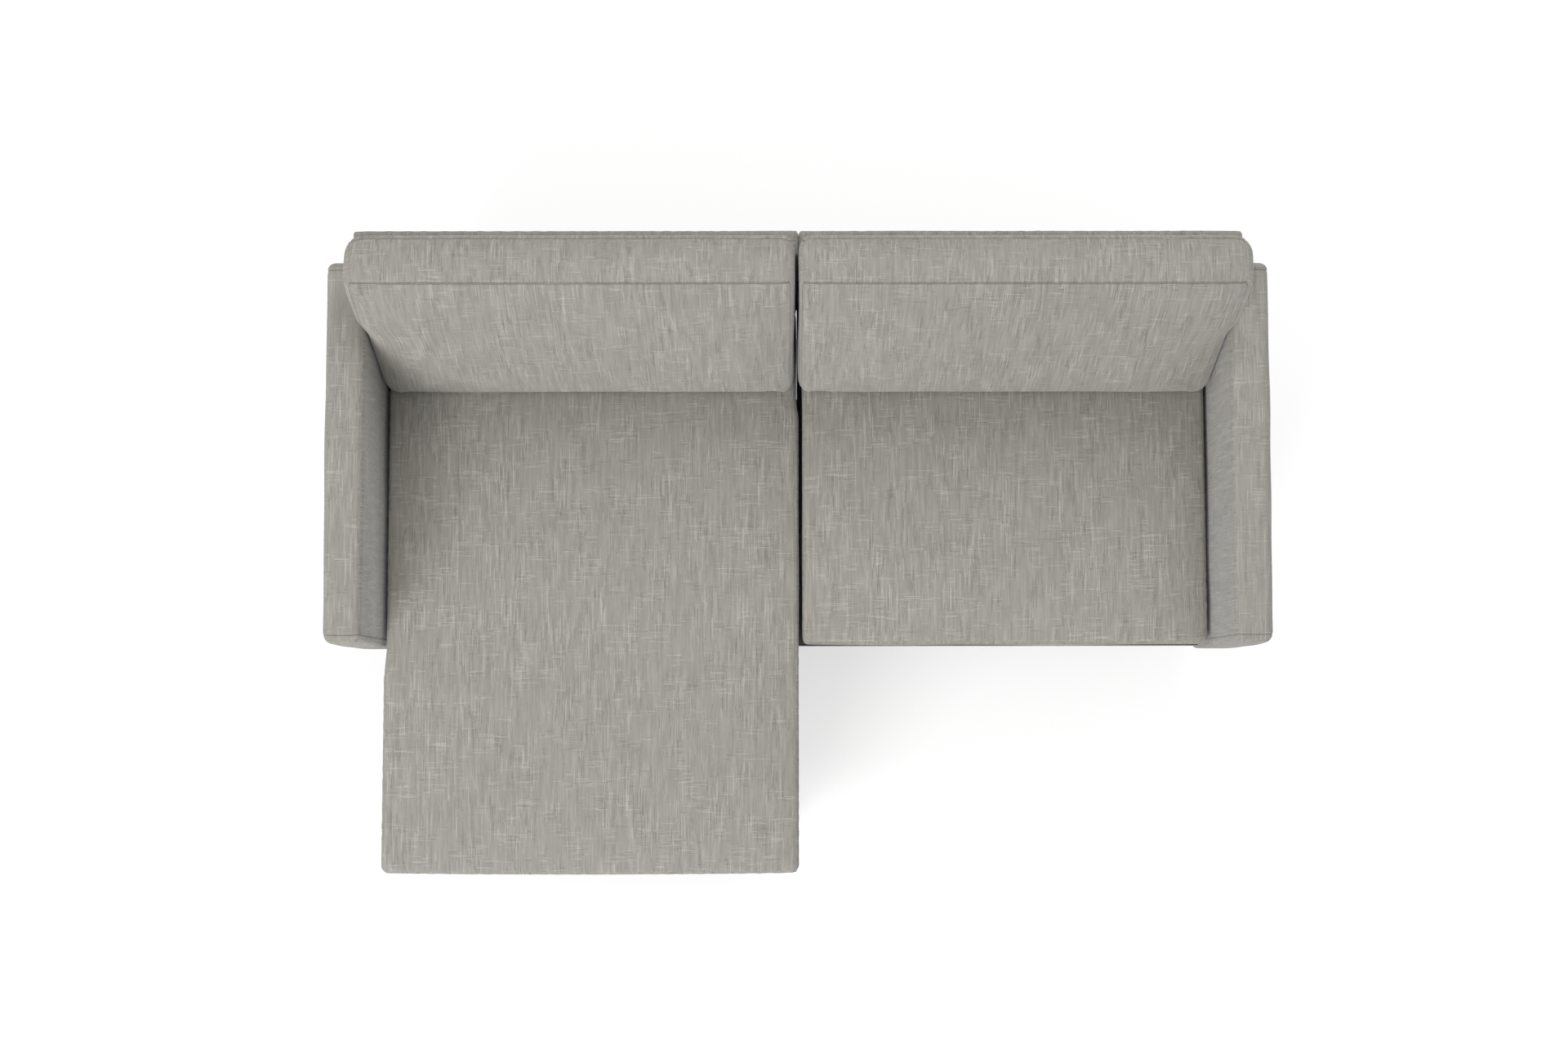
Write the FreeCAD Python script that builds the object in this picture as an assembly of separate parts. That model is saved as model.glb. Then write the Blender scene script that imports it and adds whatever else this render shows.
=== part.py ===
import FreeCAD, Part
import math
import os

os.makedirs("parts", exist_ok=True)
Vec = FreeCAD.Vector

# Sectional sofa with chaise, in millimetres.
# X runs to the sitter's left in the seat, so to the right in a view from the front.
# Y runs to the rear and Z up. The origin is on the floor, at the centre of the footprint.

# Overall plan
overall_width = 2120.0
seat_base_depth = 865.0
chaise_extension = 540.0
module_gap = 3.0

# Heights
glide_thickness = 4.0
leg_length = 177.5
rail_height = 92.0
deck_pad_thickness = 12.0
seat_side_height = 132.0
seat_crown = 14.0
arm_height = 660.0
back_height = 785.0

# Base frame
rail_thickness = 22.0
cover_thickness = 2.5
dust_cover_thickness = 1.5
block_size = 70.0
block_height = 50.0

# Springs of sinuous wire, with the clips that hold them on the side rails
spring_wire = 3.8
spring_pitch = 28.0
spring_bar = 30.0
spring_spacing = 160.0
clip_width = 16.0
clip_length = 24.0
clip_wall = 1.5
clip_clearance = 0.2

# Legs
leg_top_radius = 26.0
leg_bottom_radius = 16.0
leg_chamfer = 2.0
glide_radius = 14.0
glide_round = 1.5
leg_hole_clearance = 1.0

# Back frame, which leans to the rear
back_rake = 40.0
back_thickness = 60.0
back_padding = 19.0
back_board_thickness = 12.0
post_width = 70.0
back_edge_radius = 12.0

# Arms
arm_thickness = 89.0
arm_board_thickness = 36.0
arm_front_reach = 4.0
arm_rear_setback = 3.0
arm_corner_radius = 18.0
arm_edge_radius = 9.0
arm_board_margin = 22.0

# Seat cushions
cushion_clearance = 1.5
rest_clearance = 0.3
seat_front_setback = 8.0
seat_corner_radius = 20.0
seat_edge_inset = 8.0
seat_edge_drop = 6.0
side_draw = 3.0
front_bow = 4.0
seat_crown_reach = 260.0
seat_rear_reach = 40.0
seat_crown_steps = 4
seat_corner_growth = 0.3

# Back cushions
back_cushion_bottom_depth = 232.0
back_cushion_top_depth = 70.0
back_cushion_overhang = 38.0
back_cushion_rise = 44.0
back_cushion_top_fall = 3.0
back_cushion_bulge = 14.0
back_cushion_top_crown = 6.0
back_cushion_end_round = 22.0
back_cushion_end_inset = 10.0
back_cushion_end_steps = 3
back_cushion_middle_steps = 3
back_cushion_least_bulge = 0.02
bottom_front_radius = 32.0
bottom_rear_radius = 10.0
overhang_radius = 8.0
top_rear_radius = 22.0
top_front_radius = 12.0

# Fasteners
bolt_radius = 4.0
bolt_clearance = 0.25
bolt_head_radius = 8.0
bolt_head_height = 5.0
arm_bolt_grip = 25.0
back_bolt_grip = 20.0
arm_bolt_spacing = 220.0
back_bolt_spacing = 24.0
bolt_row_drop = 20.0
stud_in_leg = 32.0
stud_in_block = 42.0

# Connectors that hook the two modules together
connector_spacing = 320.0
connector_width = 50.0
connector_plate = 3.0
connector_drop = 7.0
connector_flange = 40.0
connector_edge_gap = 5.0
receiver_reach = 44.0
tongue_offset = 22.0
tongue_thickness = 4.0
tongue_width = 28.0
tongue_length = 17.0
slot_clearance = 0.5

# Places that follow from the sizes above
overall_depth = chaise_extension + seat_base_depth + back_rake
chaise_front_y = -overall_depth / 2
seat_front_y = chaise_front_y + chaise_extension
base_rear_y = seat_front_y + seat_base_depth
post_front_y = base_rear_y - back_thickness + cover_thickness + back_padding + back_board_thickness
arm_inner_x = overall_width / 2 - arm_thickness
rail_bottom = glide_thickness + leg_length
base_bottom = rail_bottom - dust_cover_thickness
rail_top = rail_bottom + rail_height
clip_height = spring_wire + 2 * clip_wall
deck_bottom = rail_top + clip_height
deck_top = deck_bottom + deck_pad_thickness
seat_bottom = deck_top + rest_clearance
seat_top = seat_bottom + seat_side_height + seat_crown
bolt_row = rail_top - bolt_row_drop


def front_slope(z):
    """Y of the back's front face at height z, above the deck."""
    share = (z - deck_top) / (back_height - deck_top)
    return base_rear_y - back_thickness + back_rake * share


def rear_slope(z):
    """Y of the back's rear face at height z."""
    share = (z - base_bottom) / (back_height - base_bottom)
    return base_rear_y + back_rake * share


class Module:
    """One half of the sofa: its name, its span in X and its front."""

    def __init__(self, name, left, right, front, leg_rows):
        self.name = name
        self.left = left
        self.right = right
        self.front = front
        self.leg_rows = leg_rows
        self.inner_left = left + cover_thickness
        self.inner_right = right - cover_thickness
        self.inner_front = front + cover_thickness

    def middle_y(self):
        """Y half way between the front rail's face and the back's posts."""
        return (self.inner_front + post_front_y) / 2

    def leg_places(self):
        """Centres of the corner blocks, and so of the legs."""
        reach = rail_thickness + block_size / 2
        rows = [self.inner_front + reach, rear_rail_y - block_size / 2]
        if self.leg_rows == 3:
            rows.insert(1, self.middle_y() - rail_thickness / 2 - block_size / 2)
        columns = (self.inner_left + reach, self.inner_right - reach)
        return [(x, y) for y in rows for x in columns]


rear_rail_y = post_front_y - rail_thickness
chaise = Module("chaise", -arm_inner_x, -module_gap / 2, chaise_front_y, 3)
sofa = Module("sofa", module_gap / 2, arm_inner_x, seat_front_y, 2)
modules = (chaise, sofa)


# Shapes

def box(x0, x1, y0, y1, z0, z1):
    return Part.makeBox(x1 - x0, y1 - y0, z1 - z0, Vec(x0, y0, z0))


def rounded_wire(corners, radii, bows, normal):
    """Closed wire through corners, counter-clockwise about normal.

    Corner i is rounded by radii[i]. The side from corner i to the next bows outwards by bows[i].
    """
    count = len(corners)
    entries = []
    exits = []
    arcs = []
    for i in range(count):
        before = (corners[i - 1] - corners[i]).normalize()
        after = (corners[(i + 1) % count] - corners[i]).normalize()
        if radii[i] == 0:
            entries.append(corners[i])
            exits.append(corners[i])
            arcs.append(None)
            continue
        half_angle = before.getAngle(after) / 2
        tangent = radii[i] / math.tan(half_angle)
        inward = (before + after).normalize()
        to_arc = radii[i] / math.sin(half_angle) - radii[i]
        entries.append(corners[i] + before * tangent)
        exits.append(corners[i] + after * tangent)
        middle = corners[i] + inward * to_arc
        arcs.append(Part.Arc(entries[i], middle, exits[i]).toShape())
    edges = []
    for i in range(count):
        if arcs[i] is not None:
            edges.append(arcs[i])
        start = exits[i]
        end = entries[(i + 1) % count]
        if abs(bows[i]) < 1e-6:
            edges.append(Part.LineSegment(start, end).toShape())
        else:
            outward = (end - start).normalize().cross(normal)
            middle = (start + end) / 2 + outward * bows[i]
            edges.append(Part.Arc(start, middle, end).toShape())
    return Part.Wire(edges)


def offset_corners(corners, inset, normal):
    """The polygon's corners after each side has moved inwards by inset."""
    count = len(corners)
    moved = []
    for i in range(count):
        along_in = (corners[i] - corners[i - 1]).normalize()
        along_out = (corners[(i + 1) % count] - corners[i]).normalize()
        inward_in = normal.cross(along_in)
        inward_out = normal.cross(along_out)
        bisector = inward_in + inward_out
        scale = inset / (1 + inward_in.dot(inward_out))
        moved.append(corners[i] + bisector * scale)
    return moved


def profile_prism(points, radii, x0, x1):
    """Solid from a side profile of (y, z) points, counter-clockwise seen from +X."""
    corners = [Vec(x0, y, z) for y, z in points]
    wire = rounded_wire(corners, radii, [0] * len(points), Vec(1, 0, 0))
    return Part.Face(wire).extrude(Vec(x1 - x0, 0, 0))


def plan_wire(x0, x1, y0, y1, z, radius, side_bow, end_bow):
    """Rounded rectangle at height z, whose sides bow outwards, or inwards when negative."""
    corners = [Vec(x0, y0, z), Vec(x1, y0, z), Vec(x1, y1, z), Vec(x0, y1, z)]
    bows = [end_bow, side_bow, side_bow, side_bow]
    return rounded_wire(corners, [radius] * 4, bows, Vec(0, 0, 1))


def rounded_block(x0, x1, y0, y1, z0, z1, corner, edge):
    """Upright block with rounded corners in plan, and softer edges above and below."""
    wire = plan_wire(x0, x1, y0, y1, z0, corner, 0, 0)
    solid = Part.Face(wire).extrude(Vec(0, 0, z1 - z0))
    rims = []
    for rim in solid.Edges:
        heights = [vertex.Z for vertex in rim.Vertexes]
        if max(heights) - min(heights) < 1e-6:
            rims.append(rim)
    return solid.makeFillet(edge, rims)


def cylinder(radius, length, start, direction):
    return Part.makeCylinder(radius, length, start, direction)


def write(name, shapes):
    """One STEP file per sub-part. A list of more than one solid becomes a group."""
    solids = [solid for shape in shapes for solid in shape.Solids]
    shape = solids[0] if len(solids) == 1 else Part.makeCompound(solids)
    for solid in solids:
        if not solid.isValid() or solid.Volume <= 0:
            raise ValueError("bad solid in " + name)
    shape.exportStep("parts/" + name + ".step")


# Fasteners

def bolt(seat, direction, length):
    """Dome-headed bolt whose head bears on the seat point and whose shank runs along direction."""
    shank = cylinder(bolt_radius, length, seat, direction)
    head = cylinder(bolt_head_radius, bolt_head_height, seat - direction * bolt_head_height, direction)
    return shank.fuse(head).removeSplitter()


def bolt_hole(seat, direction, length):
    return cylinder(bolt_radius + bolt_clearance, length + bolt_clearance, seat, direction)


def arm_bolt_lines(module):
    """Seat point, direction and length of each bolt from a side rail into the arm's board."""
    side = -1 if module is chaise else 1
    rail_face = module.inner_left if side < 0 else module.inner_right
    start_x = rail_face - side * rail_thickness
    board_face = arm_inner_x + (arm_thickness - arm_board_thickness) / 2
    length = board_face - abs(start_x) + arm_bolt_grip
    arm_middle = (seat_front_y - arm_front_reach + base_rear_y - arm_rear_setback) / 2
    places = (arm_middle - arm_bolt_spacing, arm_middle, arm_middle + arm_bolt_spacing)
    return [(Vec(start_x, y, bolt_row), Vec(side, 0, 0), length) for y in places]


def back_bolt_lines(module):
    """Seat point, direction and length of each bolt from the rear rail into a post."""
    reach = (rail_thickness + post_width) / 2
    lines = []
    for middle in (module.inner_left + reach, module.inner_right - reach):
        for x in (middle - back_bolt_spacing / 2, middle + back_bolt_spacing / 2):
            seat = Vec(x, rear_rail_y, bolt_row)
            lines.append((seat, Vec(0, 1, 0), rail_thickness + back_bolt_grip))
    return lines


def stud_lines(module):
    """Lower end, direction and length of each leg's stud."""
    low = rail_bottom - stud_in_leg
    return [(Vec(x, y, low), Vec(0, 0, 1), stud_in_leg + stud_in_block) for x, y in module.leg_places()]


def bolt_holes(module):
    lines = arm_bolt_lines(module) + back_bolt_lines(module)
    return Part.makeCompound([bolt_hole(*line) for line in lines])


def stud_holes(module):
    return Part.makeCompound([bolt_hole(*line) for line in stud_lines(module)])


def make_bolts(module):
    pieces = [bolt(*line) for line in arm_bolt_lines(module) + back_bolt_lines(module)]
    pieces += [cylinder(bolt_radius, length, start, way) for start, way, length in stud_lines(module)]
    write(module.name + "_bolts", pieces)


# Base frame

def make_rails(module):
    holes = bolt_holes(module)
    left_in = module.inner_left + rail_thickness
    right_in = module.inner_right - rail_thickness
    spans = {
        "left_rail": (module.inner_left, left_in, module.inner_front, post_front_y),
        "right_rail": (right_in, module.inner_right, module.inner_front, post_front_y),
        "front_rail": (left_in, right_in, module.inner_front, module.inner_front + rail_thickness),
        "rear_rail": (left_in, right_in, rear_rail_y, post_front_y),
    }
    if module.leg_rows == 3:
        middle = module.middle_y()
        half = rail_thickness / 2
        spans["cross_rail"] = (left_in, right_in, middle - half, middle + half)
    for name, (x0, x1, y0, y1) in spans.items():
        rail = box(x0, x1, y0, y1, rail_bottom, rail_top).cut(holes)
        write(module.name + "_" + name, [rail])


def make_blocks(module):
    holes = stud_holes(module)
    half = block_size / 2
    blocks = []
    for x, y in module.leg_places():
        block = box(x - half, x + half, y - half, y + half, rail_bottom, rail_bottom + block_height)
        blocks.append(block.cut(holes))
    write(module.name + "_corner_blocks", blocks)


def make_base_covers(module):
    holes = bolt_holes(module)
    front = box(module.left, module.right, module.front, module.inner_front, base_bottom, deck_top)
    write(module.name + "_cover_front", [front])
    left = box(module.left, module.inner_left, module.inner_front, post_front_y, base_bottom, deck_top)
    write(module.name + "_cover_left", [left.cut(holes)])
    right = box(module.inner_right, module.right, module.inner_front, post_front_y, base_bottom, deck_top)
    write(module.name + "_cover_right", [right.cut(holes)])


def make_deck_pad(module):
    pad = box(module.inner_left, module.inner_right, module.inner_front, post_front_y,
              deck_bottom, deck_top)
    write(module.name + "_deck_pad", [pad])


def make_dust_cover(module):
    sheet = box(module.inner_left, module.inner_right, module.inner_front,
                base_rear_y - cover_thickness, base_bottom, rail_bottom)
    for x, y in module.leg_places():
        hole = cylinder(leg_top_radius + leg_hole_clearance, 3 * dust_cover_thickness,
                        Vec(x, y, base_bottom - dust_cover_thickness), Vec(0, 0, 1))
        sheet = sheet.cut(hole)
    write(module.name + "_dust_cover", [sheet])


# Springs

def spring_rows(module):
    """Y of each spring, evenly spread between the front rail and the rear rail."""
    first = module.inner_front + rail_thickness
    span = rear_rail_y - first
    count = int(span / spring_spacing)
    step = span / count
    return [first + step * (i + 0.5) for i in range(count)]


def spring_ends(module):
    """X of the first and last bar, over the middle of each side rail."""
    half = rail_thickness / 2
    return module.inner_left + half, module.inner_right - half


def sinuous_spring(x0, x1, y, z):
    """One wire that runs from x0 to x1 in bars along Y joined by half turns."""
    bars = int(round((x1 - x0) / spring_pitch)) + 1
    pitch = (x1 - x0) / (bars - 1)
    edges = []
    way = 1
    for i in range(bars):
        x = x0 + pitch * i
        start = Vec(x, y - way * spring_bar / 2, z)
        end = Vec(x, y + way * spring_bar / 2, z)
        edges.append(Part.LineSegment(start, end).toShape())
        if i < bars - 1:
            peak = Vec(x + pitch / 2, end.y + way * pitch / 2, z)
            edges.append(Part.Arc(end, peak, Vec(x + pitch, end.y, z)).toShape())
        way = -way
    path = Part.Wire(edges)
    section = Part.Wire(Part.makeCircle(spring_wire / 2, Vec(x0, y - spring_bar / 2, z), Vec(0, 1, 0)))
    return path.makePipeShell([section], True, False)


def make_springs(module):
    z = rail_top + clip_height / 2
    x0, x1 = spring_ends(module)
    springs = [sinuous_spring(x0, x1, y, z) for y in spring_rows(module)]
    write(module.name + "_springs", springs)


def make_spring_clips(module):
    z = rail_top + clip_height / 2
    clips = []
    for y in spring_rows(module):
        for x in spring_ends(module):
            clip = box(x - clip_width / 2, x + clip_width / 2, y - clip_length / 2, y + clip_length / 2,
                       rail_top, deck_bottom)
            groove = cylinder(spring_wire / 2 + clip_clearance, 2 * clip_length,
                              Vec(x, y - clip_length, z), Vec(0, 1, 0))
            clips.append(clip.cut(groove))
    write(module.name + "_spring_clips", clips)


# Legs

def leg(x, y):
    """Turned and tapered leg on the axis through x and y, with a chamfer at each end."""
    low = glide_thickness
    high = rail_bottom
    profile = [
        Vec(0, 0, low),
        Vec(leg_bottom_radius - leg_chamfer, 0, low),
        Vec(leg_bottom_radius, 0, low + leg_chamfer),
        Vec(leg_top_radius, 0, high - leg_chamfer),
        Vec(leg_top_radius - leg_chamfer, 0, high),
        Vec(0, 0, high),
        Vec(0, 0, low),
    ]
    turned = Part.Face(Part.makePolygon(profile)).revolve(Vec(0, 0, 0), Vec(0, 0, 1), 360)
    turned.translate(Vec(x, y, 0))
    return turned


def make_legs(module):
    holes = stud_holes(module)
    write(module.name + "_legs", [leg(x, y).cut(holes) for x, y in module.leg_places()])


def make_glides(module):
    glides = []
    for x, y in module.leg_places():
        disc = cylinder(glide_radius, glide_thickness, Vec(x, y, 0), Vec(0, 0, 1))
        rim = [edge for edge in disc.Edges if len(edge.Vertexes) == 1 and edge.Vertexes[0].Z < 1e-6]
        glides.append(disc.makeFillet(glide_round, rim))
    write(module.name + "_glides", glides)


# Backs

def back_block(module):
    """Outer form of the back: a leaning slab above the deck, on a foot behind the base."""
    points = [
        (post_front_y, base_bottom),
        (base_rear_y, base_bottom),
        (rear_slope(back_height), back_height),
        (front_slope(back_height), back_height),
        (front_slope(deck_top), deck_top),
        (post_front_y, deck_top),
    ]
    radii = [0, 0, back_edge_radius, back_edge_radius, 0, 0]
    return profile_prism(points, radii, module.left, module.right)


def make_back_covers(module):
    """A skin over the front, top and sides, and a rear panel between its sides."""
    block = back_block(module)
    top = back_height - cover_thickness
    beyond = overall_depth
    points = [
        (post_front_y, 0),
        (beyond, 0),
        (beyond, top),
        (front_slope(top) + cover_thickness, top),
        (front_slope(deck_top) + cover_thickness, deck_top),
        (post_front_y, deck_top),
    ]
    radii = [0, 0, 0, back_edge_radius - cover_thickness, 0, 0]
    cavity = profile_prism(points, radii, module.inner_left, module.inner_right)
    write(module.name + "_back_cover", [block.cut(cavity)])
    points = [
        (base_rear_y - cover_thickness, base_bottom),
        (base_rear_y, base_bottom),
        (rear_slope(top), top),
        (rear_slope(top) - cover_thickness, top),
    ]
    rear = profile_prism(points, [0] * 4, module.inner_left, module.inner_right)
    write(module.name + "_back_rear_cover", [rear.common(block)])


def board_points(low, high):
    """Profile of the back board between two heights, parallel to the back's front face."""
    front = cover_thickness + back_padding
    rear = front + back_board_thickness
    return [
        (front_slope(low) + front, low),
        (front_slope(low) + rear, low),
        (front_slope(high) + rear, high),
        (front_slope(high) + front, high),
    ]


def make_back_board(module):
    top = back_height - cover_thickness - back_padding
    board = profile_prism(board_points(deck_top, top), [0] * 4, module.inner_left, module.inner_right)
    write(module.name + "_back_board", [board])


def make_posts(module):
    """Two posts behind the board, bolted to the rear rail at their feet."""
    top = back_height - cover_thickness - back_padding
    behind_board = cover_thickness + back_padding + back_board_thickness
    points = [
        (post_front_y, rail_bottom),
        (rear_slope(rail_bottom) - cover_thickness, rail_bottom),
        (rear_slope(top) - cover_thickness, top),
        (front_slope(top) + behind_board, top),
        (front_slope(deck_top) + behind_board, deck_top),
    ]
    holes = bolt_holes(module)
    left = profile_prism(points, [0] * 5, module.inner_left, module.inner_left + post_width)
    write(module.name + "_back_left_post", [left.cut(holes)])
    right = profile_prism(points, [0] * 5, module.inner_right - post_width, module.inner_right)
    write(module.name + "_back_right_post", [right.cut(holes)])


def make_back_padding(module):
    """Foam on the front of the board, folded over its top edge."""
    board_top = back_height - cover_thickness - back_padding
    top = back_height - cover_thickness
    inner_radius = back_edge_radius - cover_thickness
    outer_points = [
        (front_slope(deck_top) + cover_thickness, deck_top),
        (rear_slope(deck_top) - cover_thickness, deck_top),
        (rear_slope(top) - cover_thickness, top),
        (front_slope(top) + cover_thickness, top),
    ]
    outer = profile_prism(outer_points, [0, 0, inner_radius, inner_radius],
                          module.inner_left, module.inner_right)
    front = cover_thickness + back_padding
    core_points = [
        (front_slope(deck_top) + front, deck_top),
        (overall_depth, deck_top),
        (overall_depth, board_top),
        (front_slope(board_top) + front, board_top),
    ]
    core = profile_prism(core_points, [0] * 4, module.inner_left, module.inner_right)
    write(module.name + "_back_padding", [outer.cut(core)])


# Arms

def make_arm(name, module):
    """Thin arm beside its module: a board, padding round it and a cover round that."""
    side = -1 if module is chaise else 1
    inner = arm_inner_x
    outer = overall_width / 2
    front = seat_front_y - arm_front_reach
    rear = base_rear_y - arm_rear_setback
    holes = bolt_holes(module)

    def block(inset, corner, edge):
        x0, x1 = sorted((side * (inner + inset), side * (outer - inset)))
        return rounded_block(x0, x1, front + inset, rear - inset, base_bottom + inset,
                             arm_height - inset, corner, edge)

    skin = block(0, arm_corner_radius, arm_edge_radius)
    hollow = block(cover_thickness, arm_corner_radius - cover_thickness,
                   arm_edge_radius - cover_thickness)
    write(name + "_cover", [skin.cut(hollow).cut(holes)])
    slack = cover_thickness + rest_clearance
    foam = block(slack, arm_corner_radius - slack, arm_edge_radius - slack)
    face = (arm_thickness - arm_board_thickness) / 2
    x0, x1 = sorted((side * (inner + face), side * (outer - face)))
    margin = cover_thickness + arm_board_margin
    board = box(x0, x1, front + margin, rear - margin, base_bottom + margin, arm_height - margin)
    write(name + "_padding", [foam.cut(board).cut(holes)])
    write(name + "_board", [board.cut(holes)])


# Seat cushions

def seat_form(module, inset):
    """Boxed cushion: its sides draw in along the seams, its top is crowned, its rear is low.

    Inset takes the same amount off every face, for the fill inside the cover.
    """
    outer_gap = cushion_clearance + inset
    inner_gap = inset
    x0 = module.left + (outer_gap if module is chaise else inner_gap)
    x1 = module.right - (inner_gap if module is chaise else outer_gap)
    y0 = module.front + seat_front_setback + front_bow + inset
    y1 = front_slope(deck_top) - cushion_clearance - inset
    low = seat_bottom + inset
    side = seat_side_height - inset
    crown = seat_crown - inset
    steps = [
        (seat_edge_inset, 0, -side_draw),
        (seat_edge_inset / 4, seat_edge_drop, 0),
        (0, side / 2, 0),
        (seat_edge_inset / 4, side - seat_edge_drop, 0),
        (seat_edge_inset, side, -side_draw),
    ]
    for i in range(1, seat_crown_steps + 1):
        turn = math.pi / 2 * i / seat_crown_steps
        reach = seat_edge_inset + (1 - math.cos(turn)) * (seat_crown_reach - seat_edge_inset)
        steps.append((reach, side + crown * math.sin(turn), 0))
    wires = []
    for reach, height, bow in steps:
        rear_reach = min(reach, seat_edge_inset + reach / seat_crown_reach * seat_rear_reach)
        radius = seat_corner_radius - inset + seat_corner_growth * reach
        end_bow = bow + front_bow
        wires.append(plan_wire(x0 + reach, x1 - reach, y0 + reach, y1 - rear_reach,
                               low + height, radius, bow, end_bow))
    return Part.makeLoft(wires, True, True)


def make_seat_cushion(module):
    cover = seat_form(module, 0).cut(seat_form(module, cover_thickness))
    fill = seat_form(module, cover_thickness + rest_clearance)
    write(module.name + "_seat_cushion_cover", [cover])
    write(module.name + "_seat_cushion_foam", [fill])


# Back cushions

def back_cushion_corners(x):
    """Corners of the back cushion's side profile, counter-clockwise seen from +X."""
    low = seat_top + rest_clearance
    ledge = back_height + rest_clearance
    top = back_height + back_cushion_rise
    gap = cushion_clearance
    front_top = front_slope(back_height) - back_cushion_top_depth
    points = [
        (front_slope(low) - back_cushion_bottom_depth, low),
        (front_slope(low) - gap, low),
        (front_slope(ledge) - gap, ledge),
        (front_slope(back_height) + back_cushion_overhang, ledge),
        (front_slope(back_height) + back_cushion_overhang, top),
        (front_top, top - back_cushion_top_fall),
    ]
    return [Vec(x, y, z) for y, z in points]


def back_cushion_wire(x, inset, bulge):
    """Profile at x, drawn in by inset, whose front and top swell by a share of their crowns."""
    normal = Vec(1, 0, 0)
    corners = offset_corners(back_cushion_corners(x), inset, normal)
    radii = [bottom_front_radius, bottom_rear_radius, 0, overhang_radius, top_rear_radius,
             top_front_radius]
    radii = [max(radius - inset, radius / 3) for radius in radii]
    bows = [0, 0, 0, 0, back_cushion_top_crown * bulge, back_cushion_bulge * bulge]
    return rounded_wire(corners, radii, bows, normal)


def back_cushion_form(module, inset):
    """Wedge-shaped cushion, lofted from one end to the other."""
    outer_gap = cushion_clearance + inset
    x0 = module.left + (outer_gap if module is chaise else inset)
    x1 = module.right - (inset if module is chaise else outer_gap)
    length = x1 - x0
    stations = []
    for i in range(back_cushion_end_steps + 1):
        turn = math.pi / 2 * i / back_cushion_end_steps
        place = back_cushion_end_round * (1 - math.cos(turn))
        stations.append((place, back_cushion_end_inset * (1 - math.sin(turn))))
    for i in range(1, back_cushion_middle_steps):
        stations.append((length / 2 * i / back_cushion_middle_steps, 0.0))
    mirrored = [(length - place, drawn) for place, drawn in reversed(stations)]
    stations = stations + [(length / 2, 0.0)] + mirrored
    wires = []
    for place, drawn in stations:
        bulge = max(math.sin(math.pi * place / length), back_cushion_least_bulge)
        wires.append(back_cushion_wire(x0 + place, inset + drawn, bulge))
    return Part.makeLoft(wires, True, True)


def make_back_cushion(module):
    cover = back_cushion_form(module, 0).cut(back_cushion_form(module, cover_thickness))
    fill = back_cushion_form(module, cover_thickness + rest_clearance)
    write(module.name + "_back_cushion_cover", [cover])
    write(module.name + "_back_cushion_fill", [fill])


# Connectors

def connector_rows():
    middle = (seat_front_y + base_rear_y) / 2
    return (middle - connector_spacing / 2, middle + connector_spacing / 2)


def make_receivers():
    """Stepped plates under the chaise's right rail, which reach under the other module."""
    edge = chaise.right - connector_edge_gap
    top = base_bottom
    step = top - connector_plate - connector_drop
    plates = []
    for y in connector_rows():
        y0 = y - connector_width / 2
        y1 = y + connector_width / 2
        flange = box(edge - connector_flange, edge, y0, y1, top - connector_plate, top)
        web = box(edge - connector_plate, edge, y0, y1, step, top)
        shelf = box(edge - connector_plate, sofa.left + receiver_reach, y0, y1,
                    step, step + connector_plate)
        slot_x = sofa.left + tongue_offset - slot_clearance
        slot = box(slot_x, slot_x + tongue_thickness + 2 * slot_clearance,
                   y - tongue_width / 2 - slot_clearance, y + tongue_width / 2 + slot_clearance,
                   step - connector_plate, step + 2 * connector_plate)
        plates.append(flange.fuse(web).fuse(shelf).cut(slot).removeSplitter())
    write("connector_receivers", plates)


def make_hooks():
    """Plates under the seat module's left rail, each with a tongue that drops into a slot."""
    edge = sofa.left + connector_edge_gap
    top = base_bottom
    hooks = []
    for y in connector_rows():
        flange = box(edge, edge + connector_flange, y - connector_width / 2, y + connector_width / 2,
                     top - connector_plate, top)
        tongue_x = sofa.left + tongue_offset
        tongue = box(tongue_x, tongue_x + tongue_thickness, y - tongue_width / 2,
                     y + tongue_width / 2, top - connector_plate - tongue_length, top)
        hooks.append(flange.fuse(tongue).removeSplitter())
    write("connector_hooks", hooks)


for each in modules:
    make_rails(each)
    make_blocks(each)
    make_base_covers(each)
    make_deck_pad(each)
    make_dust_cover(each)
    make_springs(each)
    make_spring_clips(each)
    make_legs(each)
    make_glides(each)
    make_bolts(each)
    make_back_covers(each)
    make_back_board(each)
    make_posts(each)
    make_back_padding(each)
    make_seat_cushion(each)
    make_back_cushion(each)
make_arm("left_arm", chaise)
make_arm("right_arm", sofa)
make_receivers()
make_hooks()
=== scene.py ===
import math

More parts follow.
